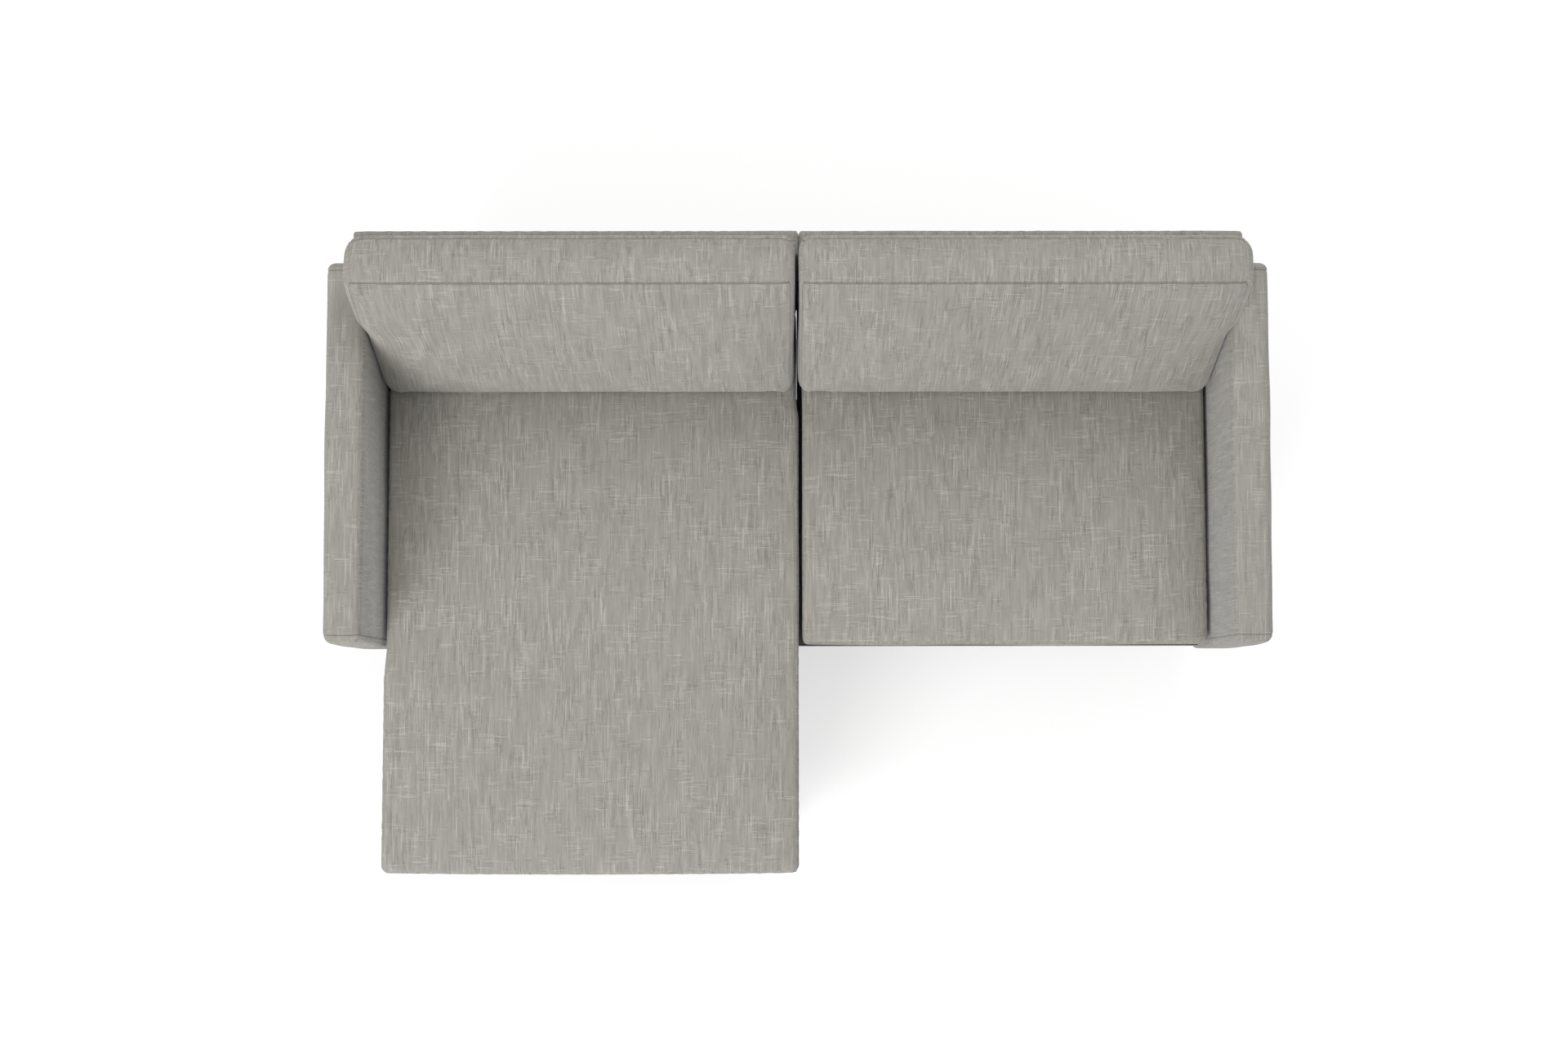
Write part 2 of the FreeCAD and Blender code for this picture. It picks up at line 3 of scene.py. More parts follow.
import bpy
import numpy as np
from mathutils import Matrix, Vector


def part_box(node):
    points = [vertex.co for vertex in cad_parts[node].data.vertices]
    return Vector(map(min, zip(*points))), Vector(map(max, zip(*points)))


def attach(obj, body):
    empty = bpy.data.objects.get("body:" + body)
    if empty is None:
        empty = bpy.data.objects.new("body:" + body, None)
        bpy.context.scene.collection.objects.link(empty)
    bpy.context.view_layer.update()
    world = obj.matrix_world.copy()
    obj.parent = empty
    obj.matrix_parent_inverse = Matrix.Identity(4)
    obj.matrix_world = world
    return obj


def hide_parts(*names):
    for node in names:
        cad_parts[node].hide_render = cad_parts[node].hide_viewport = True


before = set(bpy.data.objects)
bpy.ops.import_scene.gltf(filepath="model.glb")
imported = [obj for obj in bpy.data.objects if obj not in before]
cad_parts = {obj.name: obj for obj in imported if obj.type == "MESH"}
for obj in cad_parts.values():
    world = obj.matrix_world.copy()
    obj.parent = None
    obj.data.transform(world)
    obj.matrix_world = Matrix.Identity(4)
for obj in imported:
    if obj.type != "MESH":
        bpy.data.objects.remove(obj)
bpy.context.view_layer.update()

# Sectional sofa with chaise, in metres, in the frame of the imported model.

MODULES = ("chaise", "sofa")

# Camera, fitted to the photograph's straight edges
CAMERA_PLACE = (-0.040, -0.1925, 4.647)
CAMERA_TURN = (4.07, -0.12, -0.06)
LENS = 41.25
SENSOR = 36.0

# Light: each lamp's place, width and power
WORLD_LEVEL = 0.62
LAMP_TARGET = (0.0, -0.1, 0.4)
LAMPS = {"window": ((-4.5, -7.5, 5.2), 5.0, 600.0), "rear_window": ((1.5, 6.0, 6.0), 4.0, 230.0)}

# Floor and background: the paint's shade, and the white that is only seen
FLOOR_REACH = 30.0
FLOOR_SHADE = 0.55
FLOOR_SEEN = 0.62

# Seams: the line's half width, the painted shade along the seam's groove (where it fades out, and how dark
# it is at the middle), and the gathers beside it
SEAM_WIDTH = 0.0022
SEAM_SHADE_REACH = (0.0003, 0.0020)
SEAM_SHADE_DARKEST = 0.58
PUCKER_LENGTH = 0.03
PUCKER_REACH = 0.014
RIPPLE_WAVES = 9
TOP_STITCH = 0.0055

# Pattern boxes: the grid's step, where the seams run, the lines beside each edge, and the share they take
GRID_STEP = 0.012
SEAT_RING = 0.009
SEAT_RIM = 0.013
ARM_RING = 0.019
EDGE_LINES = (0.0, 0.00275, TOP_STITCH, SEAT_RING, SEAT_RIM, 0.016, ARM_RING, 0.023)
EDGE_SHARE = 0.42

# Inflating: the pressure, the frames it runs for, and how far past a seam the cover is held
PRESSURE = 4.0
PRESSURE_FRAMES = 20
HELD_PAST = 0.001

# Seat cushions
SEAT_HIDDEN_CROWN = 0.014
SEAT_CROWN = 0.011
SEAT_CORNER = 0.019
SEAT_EDGE = 0.013
SEAT_TOP_INSET = 0.0015
SEAT_BOTTOM_INSET = 0.006
SEAT_WIDEST = 0.6
SEAT_CROWN_REACH = 0.24
SEAT_REAR_REACH = 0.04
SEAT_CROWN_POWER = 2.4
SEAT_BOW = {"chaise": 0.0035, "sofa": 0.001}
SEAT_FORWARD = {"chaise": 0.0, "sofa": 0.005}
SEAT_GAP_CORNER = 0.011
SEAT_SWELL = 0.006
SEAT_SPREAD = 0.0055
SEAT_SPREAD_LOW = 0.356
SEAT_SPREAD_HIGH = 0.390
SEAT_SPREAD_FRONT = 0.360
SEAT_SPREAD_END = 0.395
SOFA_SEAT_GAP = 0.0105
SOFA_ARM_GAP = 0.003
CHAISE_ARM_GAP = 0.0035
CHAISE_FREE_SPREAD = 0.006
CHAISE_FREE_FROM = -0.19
CHAISE_FREE_FULL = -0.26

# Back cushions: where the front and the rear stand at the foot and at the head, then the form
BACK_FRONT_FOOT = 0.4024
BACK_FRONT_HEAD = 0.5925
BACK_REAR_FOOT = 0.6329
BACK_REAR_HEAD = 0.6610
BACK_DEPTH = 0.160
BACK_END_ROUND = 0.040
BACK_INNER_ROUND = 0.024
BACK_FRONT_ROUND = 0.030
BACK_REAR_ROUND = 0.056
BACK_BOTTOM_ROUND = 0.024
BACK_TOP_ROUND = 0.017
BACK_FRONT_BULGE = 0.014
BACK_CROWN_REACH = 0.22
BACK_TOP_CROWN = 0.009
BACK_TOP_FALL = 0.003
BACK_LEDGE = 0.045
BACK_STEP_LOW = 0.7870
BACK_STEP_HIGH = 0.8030
BACK_SWELL = 0.007
BACK_GAP = 0.007
BACK_OVER_ARM = 0.015
OVER_ARM_LOW = 0.640
OVER_ARM_HIGH = 0.695
BACK_TAPER = 0.004

# Arms
ARM_ROUND = 0.017
ARM_OUTER_ROUND = 0.021
ARM_FRONT_ROUND = 0.026
ARM_TAPER = 0.0035
ARM_TAPER_FROM = 0.35
ARM_TOP_CROWN = 0.002
ARM_FRONT_BULGE = 0.004
ARM_FRONT_SETBACK = 0.012
ARM_DRAW = {"left_arm": 0.005, "right_arm": 0.002}
ARM_DRAW_LOW = 0.45
ARM_DRAW_HIGH = 0.57

# Backs: the slab, how it leans, where its front steps in at the deck, and the panel on its rear
BACK_THICKNESS = 0.060
BACK_REAR_AT_FOOT = 0.0265
BACK_RAKE = 0.040
FOOT_BELOW_DECK = 0.002
FOOT_ABOVE_DECK = 0.003
BACK_EDGE = 0.011
BACK_SIDE_EDGE = 0.005
BACKS_GAP = 0.0006
REAR_PANEL_MARGIN = 0.007
REAR_PANEL_PROUD = 0.0012
REAR_PANEL_THICK = 0.0025
REAR_PANEL_ROUND = 0.0012

# Base covers: the stitches above the hem, and the grid
HEM = 0.012
COVER_STEP = 0.02
COVER_LINES = (0.0, 0.0004, 0.0009, 0.010, HEM, 0.014)
COVER_ROUND = 0.0011

# Deck pads and dust covers
DECK_STEP = 0.03
DECK_LINES = (0.0, 0.0005, 0.004)

# Weave: a yarn's width, the lengths of its slubs, a wide stripe, and the slubs of the yarns across
YARN = 0.0019
LIGHT_SLUB = 0.050
DARK_SLUB = 0.026
STRIPE = 0.0042
STRIPE_LENGTH = 0.070
LIGHT_CROSS = 0.034
DARK_CROSS = 0.020

# Areas where slubs gather: their width and length, and the noise at their edge and inside
SLUB_AREAS = (0.040, 0.085, 0.36, 0.62)
CROSS_AREAS = (0.050, 0.030, 0.42, 0.62)


# Arrays of numbers on meshes

def put(mesh, name, domain, values):
    """Stores values as the attribute name: vectors if they have three parts, else single numbers."""
    values = np.asarray(values, np.float32)
    vector = values.ndim == 2
    layer = mesh.attributes.new(name, "FLOAT_VECTOR" if vector else "FLOAT", domain)
    layer.data.foreach_set("vector" if vector else "value", values.ravel())


def read_vectors(collection, key):
    values = np.empty(len(collection) * 3, np.float32)
    collection.foreach_get(key, values)
    return values.reshape(-1, 3).astype(float)


def rest_of(mesh):
    return read_vectors(mesh.attributes["rest"].data, "vector")


def move_to(mesh, places):
    mesh.vertices.foreach_set("co", np.asarray(places, np.float32).ravel())
    mesh.update()


def ripple(points, length, seed):
    """Smooth uneven values of about -1 to 1, in waves of about the given length."""
    draw = np.random.default_rng(seed)
    points = points.reshape(len(points), -1)
    total = np.zeros(len(points))
    for _ in range(RIPPLE_WAVES):
        direction = draw.normal(size=points.shape[1])
        direction /= np.linalg.norm(direction)
        pace = 2 * math.pi / (length * draw.uniform(0.7, 1.6))
        total += np.sin(points @ direction * pace + draw.uniform(0, 2 * math.pi))
    return total / math.sqrt(RIPPLE_WAVES)


def rise(share, power):
    """From 0 at share 0 to 1 at share 1 and beyond, steep at first and flat at the end."""
    return 1 - (1 - np.clip(share, 0, 1)) ** power


def smooth_step(low, high, values):
    """0 up to low, 1 from high on, and a smooth change between; low may be the larger one."""
    share = np.clip((values - low) / (high - low), 0, 1)
    return share * share * (3 - 2 * share)


def hump(share):
    """0 at both ends of 0 to 1, and 1 in the middle."""
    share = np.clip(share, 0, 1)
    return 4 * share * (1 - share)


# Soft forms

SIDES = {"left": (0, 0), "right": (0, 1), "front": (1, 0), "rear": (1, 1), "bottom": (2, 0), "top": (2, 1)}
OPPOSITE = {"left": "right", "right": "left", "front": "rear", "rear": "front", "bottom": "top",
            "top": "bottom"}


def graded(low, high, step, edge_lines):
    """Places from low to high: the edge lines from either end, and about step apart between them."""
    span = high - low
    edge = np.array([line for line in edge_lines if line < span * EDGE_SHARE])
    rim = edge[-1]
    middle = np.linspace(low + rim, high - rim, max(2, round((span - 2 * rim) / step)) + 1)
    return np.concatenate([low + edge[:-1], middle, high - edge[:-1][::-1]])


def box_surface(cuts):
    """Points and quads on the surface of a box that is cut at the given places, and each quad's side."""
    shape = [len(cut) for cut in cuts]
    quads = []
    sides = []
    for axis, end in SIDES.values():
        a, b = (axis + 1) % 3, (axis + 2) % 3
        i, j = np.meshgrid(np.arange(shape[a] - 1), np.arange(shape[b] - 1), indexing="ij")
        corners = []
        for step_i, step_j in ((0, 0), (1, 0), (1, 1), (0, 1)):
            index = np.zeros(i.shape + (3,), int)
            index[..., axis] = end * (shape[axis] - 1)
            index[..., a] = i + step_i
            index[..., b] = j + step_j
            corners.append(np.ravel_multi_index(np.moveaxis(index, -1, 0), shape).ravel())
        quad = np.stack(corners, -1)
        quads.append(quad if end else quad[:, ::-1])
        sides.append(np.full(len(quad), axis))
    quads = np.concatenate(quads)
    used, numbers = np.unique(quads, return_inverse=True)
    index = np.unravel_index(used, shape)
    points = np.stack([cuts[n][index[n]] for n in range(3)], -1)
    return points, numbers.reshape(-1, 4), np.concatenate(sides)


def rounded(points, low, high, near, far=None):
    """Moves points of a box's surface onto the box with rounded edges.

    near and far are how far in the rounding reaches along each axis, from the low and from the high end.
    """
    near = np.broadcast_to(near, 3)
    far = near if far is None else np.broadcast_to(far, 3)
    inner = np.clip(points, low + near, high - far)
    size = np.where(points > (low + high) / 2, far, near)
    out = (points - inner) / size
    reach = np.abs(out).max(1)
    length = np.maximum(np.linalg.norm(out, axis=1), 1e-9)
    return inner + out * size * (reach / length)[:, None]


class SoftBox:
    """A soft closed form that starts as a box of flat panels.

    Each point keeps its place on that pattern box in the attribute rest, from which seams, puckers and
    the weave follow, however the form is then shaped, blown up and divided.
    """

    def __init__(self, name, low, high, step=GRID_STEP, edge_lines=EDGE_LINES):
        self.low = np.array(low, float)
        self.high = np.array(high, float)
        self.seed = sum(name.encode())
        cuts = [graded(self.low[n], self.high[n], step, edge_lines) for n in range(3)]
        rest, quads, sides = box_surface(cuts)
        mesh = bpy.data.meshes.new(name)
        mesh.from_pydata(rest.tolist(), [], quads.tolist())
        put(mesh, "rest", "POINT", rest)
        across = np.where(sides == 0, 1, 0)
        along = np.where(sides == 2, 1, 2)
        corners = rest[quads]
        rows = np.arange(len(quads))[:, None]
        columns = np.arange(4)[None, :]
        # The weave's third part differs between panels, so that none continues another's threads
        panel = np.broadcast_to(sides[:, None] * 3.7 + self.seed % 97, quads.shape)
        weave = np.stack([corners[rows, columns, across[:, None]],
                          corners[rows, columns, along[:, None]], panel], -1)
        put(mesh, "weave", "CORNER", weave.reshape(-1, 3))
        mesh.shade_smooth()
        self.object = bpy.data.objects.new(name, mesh)
        bpy.context.scene.collection.objects.link(self.object)

    def share(self, rest):
        """Each point's place in the pattern box, from 0 to 1 along each axis."""
        return (rest - self.low) / (self.high - self.low)

    def on_side(self, rest, side):
        axis, end = SIDES[side]
        return np.abs(rest[:, axis] - (self.low, self.high)[end][axis]) < 1e-5

    def edge(self, rest, pair):
        """Each point's distance from the edge between two sides, and its place along that edge."""
        (a, a_end), (b, b_end) = (SIDES[side] for side in pair)
        bounds = (self.low, self.high)
        distance = np.hypot(rest[:, a] - bounds[a_end][a], rest[:, b] - bounds[b_end][b])
        return distance, rest[:, 3 - a - b]

    def row(self, rest, pair, side, far):
        """A line of stitching on one side, parallel to an edge of it."""
        distance, along = self.edge(rest, pair)
        return np.where(self.on_side(rest, side), np.abs(distance - far), 1.0), along

    def ring(self, rest, side, far):
        """A line round the form, at a distance from one side, on the sides that meet it."""
        axis, end = SIDES[side]
        place = self.high[axis] - far if end else self.low[axis] + far
        a, b = (axis + 1) % 3, (axis + 2) % 3
        crosses = ~(self.on_side(rest, side) | self.on_side(rest, OPPOSITE[side]))
        return np.where(crosses, np.abs(rest[:, axis] - place), 1.0), rest[:, a] + rest[:, b]

    def shape(self, form):
        mesh = self.object.data
        move_to(mesh, form(self, rest_of(mesh)))

    def inflate(self, held, cap):
        """Blows the cover up as cloth under pressure, held where told; no point moves further than cap."""
        scene = bpy.context.scene
        obj = self.object
        before = read_vectors(obj.data.vertices, "co")
        group = obj.vertex_groups.new(name="held")
        group.add(np.nonzero(held)[0].tolist(), 1.0, "REPLACE")
        cloth = obj.modifiers.new("cloth", "CLOTH")
        cloth.settings.vertex_group_mass = "held"
        cloth.settings.use_pressure = True
        cloth.settings.uniform_pressure_force = PRESSURE
        cloth.settings.effector_weights.gravity = 0.0
        cloth.settings.quality = 4
        cloth.point_cache.frame_start = 1
        cloth.point_cache.frame_end = PRESSURE_FRAMES
        for number in range(1, PRESSURE_FRAMES + 1):
            scene.frame_set(number)
        posed = obj.evaluated_get(bpy.context.evaluated_depsgraph_get())
        after = read_vectors(posed.data.vertices, "co")
        obj.modifiers.remove(cloth)
        obj.vertex_groups.remove(group)
        scene.frame_set(1)
        moved = after - before
        length = np.linalg.norm(moved, axis=1)
        kept = cap * (1 - np.exp(-length / cap)) / np.maximum(length, 1e-9)
        move_to(obj.data, before + moved * kept[:, None])

    def divide(self):
        """Subdivides once, for good."""
        obj = self.object
        modifier = obj.modifiers.new("divide", "SUBSURF")
        modifier.levels = 1
        posed = obj.evaluated_get(bpy.context.evaluated_depsgraph_get())
        old = obj.data
        name = old.name
        mesh = bpy.data.meshes.new_from_object(posed)
        obj.modifiers.remove(modifier)
        obj.data = mesh
        bpy.data.meshes.remove(old)
        mesh.name = name
        mesh.shade_smooth()

    def sew(self, lines, depth=0.0020, pucker=0.0005, uneven=0.0008, uneven_length=0.22):
        """Sinks a line along each seam, with small gathers beside it, and makes the panels a little uneven.

        lines is a list of the forms edge, row and ring, each as its name and what it takes.
        """
        mesh = self.object.data
        rest = rest_of(mesh)
        places = read_vectors(mesh.vertices, "co")
        normals = read_vectors(mesh.vertex_normals, "vector")
        nearest = np.full(len(rest), 1.0)
        offset = np.zeros(len(rest))
        for number, (kind, *parts) in enumerate(lines):
            distance, along = getattr(self, kind)(rest, *parts)
            line = np.exp(-(distance / SEAM_WIDTH) ** 2)
            gathers = ripple(along, PUCKER_LENGTH, self.seed + number)
            offset += pucker * gathers * np.exp(-distance / PUCKER_REACH) * (1 - line) - depth * line
            nearest = np.minimum(nearest, distance)
        calm = smooth_step(0.0, 0.05, nearest)
        offset += uneven * calm * ripple(rest, uneven_length, self.seed + 50)
        move_to(mesh, places + normals * offset[:, None])
        # Each point's distance to the nearest seam, from which the material paints shade along the seam's
        # groove
        put(mesh, "seam", "POINT", nearest)

    def dress(self, material, body, slot, *nodes):
        """Gives the form its material, and puts it on its body in place of the nodes."""
        self.object.data.materials.clear()
        self.object.data.materials.append(material)
        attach(self.object, body)
        if nodes:
            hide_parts(*nodes)
        return self.object


# Materials

class Shade:
    """Builds the nodes of one material, or of the world."""

    def __init__(self, owner):
        self.owner = owner
        owner.use_nodes = True
        self.tree = owner.node_tree
        self.tree.nodes.clear()

    def feed(self, socket, value):
        if isinstance(value, bpy.types.NodeSocket):
            self.tree.links.new(value, socket)
        else:
            socket.default_value = value

    def node(self, kind, inputs=(), **settings):
        made = self.tree.nodes.new("ShaderNode" + kind)
        for key, value in settings.items():
            setattr(made, key, value)
        for key, value in dict(inputs).items():
            self.feed(made.inputs[key], value)
        return made

    def math(self, operation, *values):
        made = self.node("Math", operation=operation)
        for socket, value in zip(made.inputs, values):
            self.feed(socket, value)
        return made.outputs[0]

    def add(self, *values):
        total = values[0]
        for value in values[1:]:
            total = self.math("ADD", total, value)
        return total

    def times(self, *values):
        total = values[0]
        for value in values[1:]:
            total = self.math("MULTIPLY", total, value)
        return total

    def seen(self):
        """1 for rays from the camera and for those that gloss and glass send on, else 0."""
        path = self.node("LightPath").outputs
        passed = self.math("MAXIMUM", path["Is Glossy Ray"], path["Is Transmission Ray"])
        return self.math("MAXIMUM", path["Is Camera Ray"], passed)

    def combine(self, x, y, z):
        return self.node("CombineXYZ", {"X": x, "Y": y, "Z": z}).outputs[0]

    def noise(self, place, scale=1.0, detail=0.0, roughness=0.5):
        inputs = {"Vector": place, "Scale": scale, "Detail": detail, "Roughness": roughness}
        return self.node("TexNoise", inputs).outputs[0]

    def stretched_noise(self, across, along, seed, width, length):
        """Soft patches of about the given width and length."""
        place = self.combine(self.math("DIVIDE", across, width), self.math("DIVIDE", along, length), seed)
        return self.noise(place, detail=1.0)

    def white(self, place):
        return self.node("TexWhiteNoise", {"Vector": place}, noise_dimensions="3D").outputs[0]

    def fade(self, value, low, high, start=0.0, end=1.0):
        """Start below low, end above high, and a smooth change between."""
        inputs = {"Value": value, "From Min": low, "From Max": high, "To Min": start, "To Max": end}
        return self.node("MapRange", inputs, interpolation_type="SMOOTHSTEP").outputs[0]

    def ramp(self, value, stops):
        made = self.node("ValToRGB", {"Fac": value})
        elements = made.color_ramp.elements
        while len(elements) < len(stops):
            elements.new(0.5)
        for element, (place, colour) in zip(elements, stops):
            element.position = place
            element.color = (*colour, 1.0)
        return made.outputs[0]

    def mix(self, share, first, second, blend="MIX"):
        made = self.node("Mix", data_type="RGBA", blend_type=blend)
        for number, value in ((0, share), (6, first), (7, second)):
            if not isinstance(value, (float, bpy.types.NodeSocket)):
                value = (*value, 1.0)
            self.feed(made.inputs[number], value)
        return made.outputs[2]

    def finish(self, inputs, height=None, bump_depth=0.0005, bump_strength=0.5):
        """Ends in a Principled shader with the given inputs, and a bump from height."""
        shader = self.node("BsdfPrincipled", inputs)
        if height is not None:
            bump = self.node("Bump", {"Height": height, "Distance": bump_depth, "Strength": bump_strength})
            self.feed(shader.inputs["Normal"], bump.outputs[0])
        output = self.node("OutputMaterial")
        self.feed(output.inputs["Surface"], shader.outputs[0])
        return self.owner


def threads(shade, across, along, seed, width, length):
    """One random value for each stretch of each thread: stretches end sharply, and not side by side."""
    thread = shade.math("FLOOR", shade.math("DIVIDE", across, width))
    shift = shade.white(shade.combine(thread, seed, 0.0))
    stretch = shade.math("FLOOR", shade.add(shade.math("DIVIDE", along, length), shade.times(shift, 9.0)))
    return shade.white(shade.combine(thread, stretch, seed))


def patches(shade, across, along, seed, width, length, low, high):
    """Loose areas, from 0 outside them to 1 inside."""
    return shade.fade(shade.stretched_noise(across, along, seed, width, length), low, high)


def slub_weave(name, dark, middle, light):
    """Linen-like upholstery: thin light and dark slubs, long ones one way and short ones across them."""
    shade = Shade(bpy.data.materials.new(name))
    weave = shade.node("Attribute", attribute_name="weave").outputs["Vector"]
    parts = shade.node("SeparateXYZ", {"Vector": weave})
    across, along, seed = parts.outputs
    seeds = [shade.add(seed, 1.31 * n) for n in range(9)]
    group = patches(shade, across, along, seeds[0], *SLUB_AREAS)
    cross_group = patches(shade, across, along, seeds[1], *CROSS_AREAS)
    soft = shade.stretched_noise(across, along, seeds[2], 0.011, 0.075)
    yarn = threads(shade, across, along, seeds[3], YARN, LIGHT_SLUB)
    second = threads(shade, across, along, seeds[4], YARN, DARK_SLUB)
    wide = threads(shade, across, along, seeds[5], STRIPE, STRIPE_LENGTH)
    cross = threads(shade, along, across, seeds[6], YARN, LIGHT_CROSS)
    cross_second = threads(shade, along, across, seeds[7], YARN, DARK_CROSS)
    light_yarn = shade.times(shade.fade(yarn, 0.80, 0.86), shade.add(0.25, shade.times(group, 0.75)))
    dark_yarn = shade.times(shade.fade(second, 0.78, 0.84), shade.add(0.30, shade.times(group, 0.70)))
    light_cross = shade.times(shade.fade(cross, 0.86, 0.90), cross_group)
    dark_cross = shade.times(shade.fade(cross_second, 0.88, 0.92), cross_group)
    value = shade.add(
        0.5,
        shade.times(shade.add(soft, -0.5), 0.36),
        shade.times(shade.add(wide, -0.5), 0.10),
        shade.times(shade.add(yarn, -0.5), 0.06),
        shade.times(light_yarn, 0.25),
        shade.times(dark_yarn, -0.20),
        shade.times(light_cross, 0.27),
        shade.times(dark_cross, -0.16),
    )
    colour = shade.ramp(value, [(0.10, dark), (0.5, middle), (0.92, light)])
    tint = shade.stretched_noise(across, along, seeds[8], 0.03, 0.06)
    tints = [(0.32, (1.01, 0.995, 0.99)), (0.5, (1.0, 1.0, 1.0)), (0.68, (0.993, 1.003, 0.99))]
    colour = shade.mix(1.0, colour, shade.ramp(tint, tints), "MULTIPLY")
    # Painted shade: the colour is darkened along each seam, standing in for the shade that falls in its
    # groove
    seam = shade.node("Attribute", attribute_name="seam").outputs["Fac"]
    painted_seam_shade = shade.fade(seam, *SEAM_SHADE_REACH, SEAM_SHADE_DARKEST, 1.0)
    colour = shade.mix(1.0, colour, shade.combine(painted_seam_shade, painted_seam_shade, painted_seam_shade), "MULTIPLY")
    turns = 2 * math.pi / YARN
    over = shade.times(shade.math("SINE", shade.times(across, turns)),
                       shade.math("SINE", shade.times(along, turns)))
    height = shade.add(shade.times(over, 0.35), shade.times(light_yarn, 0.6), shade.times(light_cross, 0.6),
                       shade.times(wide, 0.2))
    shader = {"Base Color": colour, "Roughness": 0.85, "Specular IOR Level": 0.35, "Sheen Weight": 0.50,
              "Sheen Roughness": 0.40, "Sheen Tint": (0.92, 0.96, 1.0, 1.0)}
    return shade.finish(shader, height, 0.0004, 0.40)


def plain_cloth(name, dark, light, grain):
    """Non-woven or felted cloth: short tangled fibres."""
    shade = Shade(bpy.data.materials.new(name))
    place = shade.node("TexCoord").outputs["Object"]
    fibres = shade.noise(place, 1 / grain, 4.0, 0.65)
    blotches = shade.noise(place, 0.1 / grain, 2.0)
    value = shade.add(shade.times(fibres, 0.7), shade.times(blotches, 0.3))
    colour = shade.ramp(value, [(0.3, dark), (0.7, light)])
    shader = {"Base Color": colour, "Roughness": 0.95, "Specular IOR Level": 0.15}
    return shade.finish(shader, fibres, 0.0006, 0.5)


def wood(name, dark, light, along, ring, roughness, coat=0.0):
    """Wood with its grain along one axis: 0, 1 or 2 for X, Y or Z."""
    shade = Shade(bpy.data.materials.new(name))
    parts = shade.node("SeparateXYZ", {"Vector": shade.node("TexCoord").outputs["Object"]})
    squeezed = [shade.math("DIVIDE", parts.outputs[n], ring * (14 if n == along else 1)) for n in range(3)]
    place = shade.combine(*squeezed)
    warp = shade.noise(place, 0.6, 2.0)
    years = shade.add(warp, shade.times(shade.noise(place, 0.25), 1.5))
    rings = shade.math("SINE", shade.times(years, 26.0))
    pores = shade.noise(place, 9.0, 3.0, 0.7)
    value = shade.add(shade.times(rings, 0.18), shade.times(pores, 0.5), 0.25)
    colour = shade.ramp(value, [(0.25, dark), (0.75, light)])
    rough = shade.fade(pores, 0.3, 0.7, roughness * 0.85, min(1.0, roughness * 1.15))
    shader = {"Base Color": colour, "Roughness": rough, "Coat Weight": coat, "Coat Roughness": 0.25}
    return shade.finish(shader, value, 0.0003, 0.3)


def metal(name, colour, roughness, metallic=1.0):
    """Metal with fine scuffs and a slightly uneven tone."""
    shade = Shade(bpy.data.materials.new(name))
    place = shade.node("TexCoord").outputs["Object"]
    tone = shade.noise(place, 90.0, 3.0)
    darker = tuple(0.7 * part for part in colour)
    shown = shade.ramp(tone, [(0.35, darker), (0.65, colour)])
    rough = shade.fade(shade.noise(place, 400.0, 2.0), 0.3, 0.7, roughness * 0.7, roughness * 1.3)
    return shade.finish({"Base Color": shown, "Roughness": rough, "Metallic": metallic}, tone, 0.0002, 0.2)


upholstery = slub_weave("upholstery", (0.225, 0.217, 0.194), (0.360, 0.345, 0.312), (0.520, 0.503, 0.460))
dust_cloth = plain_cloth("dust_cloth", (0.012, 0.012, 0.013), (0.045, 0.045, 0.047), 0.0015)
deck_felt = plain_cloth("deck_felt", (0.10, 0.10, 0.10), (0.24, 0.24, 0.235), 0.002)
leg_wood = wood("leg_wood", (0.045, 0.022, 0.012), (0.13, 0.068, 0.036), 2, 0.004, 0.42, 0.3)
plywood = wood("plywood", (0.38, 0.26, 0.15), (0.62, 0.46, 0.29), 0, 0.012, 0.75)
frame_wood = wood("frame_wood", (0.45, 0.31, 0.17), (0.70, 0.53, 0.34), 1, 0.009, 0.7)
spring_steel = metal("spring_steel", (0.30, 0.30, 0.31), 0.35)
bolt_steel = metal("bolt_steel", (0.62, 0.61, 0.57), 0.3)
connector_steel = metal("connector_steel", (0.03, 0.03, 0.032), 0.5, 0.0)
glide_plastic = metal("glide_plastic", (0.05, 0.05, 0.05), 0.55, 0.0)


# Seat cushions

def seat_form(form, rest, module):
    """Boxed cushion with soft edges, widest above its middle, and a crowned top that is low at the rear."""
    low, high = form.low, form.high
    ends = (SEAT_CORNER, SEAT_CORNER) if module == "chaise" else (SEAT_GAP_CORNER, SEAT_CORNER)
    places = rounded(rest, low, high, (ends[0], SEAT_CORNER, SEAT_EDGE), (ends[1], SEAT_CORNER, SEAT_EDGE))
    share = form.share(places)
    w = share[:, 2]
    inset = (SEAT_BOTTOM_INSET * np.clip(1 - w / SEAT_WIDEST, 0, 1) ** 2
             + SEAT_TOP_INSET * np.clip((w - SEAT_WIDEST) / (1 - SEAT_WIDEST), 0, 1) ** 2)
    middle = (low + high) / 2
    half = (high - low) / 2
    for axis in (0, 1):
        places[:, axis] = middle[axis] + (places[:, axis] - middle[axis]) * (1 - inset / half[axis])
    places[:, 1] -= SEAT_BOW[module] * hump(share[:, 0]) * (1 - share[:, 1]) ** 4
    from_sides = np.minimum(places[:, 0] - low[0], high[0] - places[:, 0])
    crown = (rise(from_sides / SEAT_CROWN_REACH, SEAT_CROWN_POWER)
             * rise((places[:, 1] - low[1]) / SEAT_CROWN_REACH, SEAT_CROWN_POWER)
             * rise((high[1] - places[:, 1]) / SEAT_REAR_REACH, SEAT_CROWN_POWER))
    places[:, 2] += np.where(form.on_side(rest, "top"), SEAT_CROWN * crown, 0)
    return spread_chaise(form, places) if module == "chaise" else places


